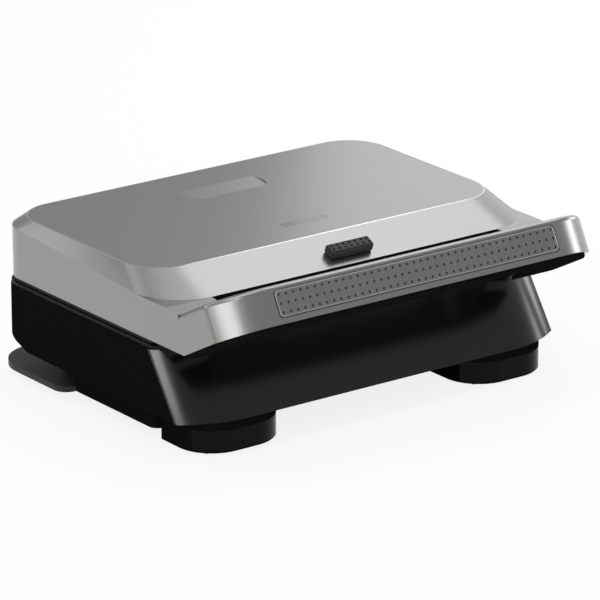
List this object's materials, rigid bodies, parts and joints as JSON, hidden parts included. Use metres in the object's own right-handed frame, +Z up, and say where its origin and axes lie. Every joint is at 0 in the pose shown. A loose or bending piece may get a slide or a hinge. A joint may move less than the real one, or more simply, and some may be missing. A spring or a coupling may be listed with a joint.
{
  "type": "sandwich maker",
  "caption": "Closed electric sandwich maker with a silver lid, upswept loop handle with dimpled grip, sliding latch, leaning gloss black front, footed base and rear cord wrap.",
  "frame": {"origin": "on the floor under the middle of the whole part's box", "axes": "+X to the right, +Y to the back where the hinge is, +Z up; the handle is at -Y"},
  "size_m": [0.281, 0.2452, 0.107],
  "materials": {
    "silver_shell": "satin silver paint",
    "black_matte": "fine matte texture",
    "black_gloss": "polished",
    "dark_grey": "satin",
    "grip_grey": "dimpled soft touch",
    "charcoal": "satin",
    "pad_rubber": "matte",
    "gland_rubber": "matte",
    "plate_coating": "dark non-stick coating",
    "bright_sheet": "rolled sheet",
    "heater_steel": "dull sheath",
    "pin_steel": "turned",
    "screw_steel": "black zinc",
    "wiring_plastic": "moulded",
    "board_green": "lacquer",
    "window_clear": "clear, unlit"
  },
  "bodies": {
    "base": {"base_housing": "black_matte", "front_panel": "black_gloss", "base_rim": "black_matte", "bottom_pan": "black_matte", "cord_wrap_plate": "dark_grey", "front_foot_left": "black_matte", "front_foot_right": "black_matte", "foot_trim_left": "black_gloss", "foot_trim_right": "black_gloss", "foot_pads": "pad_rubber", "pan_screws": "screw_steel", "lower_plate": "plate_coating", "lower_heater": "heater_steel", "lower_reflector": "bright_sheet", "terminal_block": "wiring_plastic", "cord_gland": "gland_rubber", "hinge_pin_left": "pin_steel", "hinge_pin_right": "pin_steel"},
    "lid": {"lid_shell": "silver_shell", "lid_frame": "black_matte", "upper_plate": "plate_coating", "upper_heater": "heater_steel", "upper_reflector": "bright_sheet", "thermostat": "wiring_plastic", "thermal_fuse": "wiring_plastic", "indicator_board": "board_green", "indicator_window_left": "window_clear", "indicator_window_right": "window_clear", "handle_loop": "silver_shell", "handle_underside": "dark_grey", "grip_inlay": "grip_grey", "handle_screws": "screw_steel"},
    "latch": {"latch_slider": "charcoal", "latch_hook": "pin_steel"}
  },
  "joints": [
    {"name": "lid_hinge", "type": "hinge", "parent": "base", "child": "lid", "pos_m": [0, 0.1171, 0.067], "axis": [-1, 0, 0], "range_deg": [0, 100]},
    {"name": "latch_slide", "type": "slide", "parent": "lid", "child": "latch", "axis": [0, 0.9122, 0.4097], "range_m": [0, 0.005]}
  ]
}
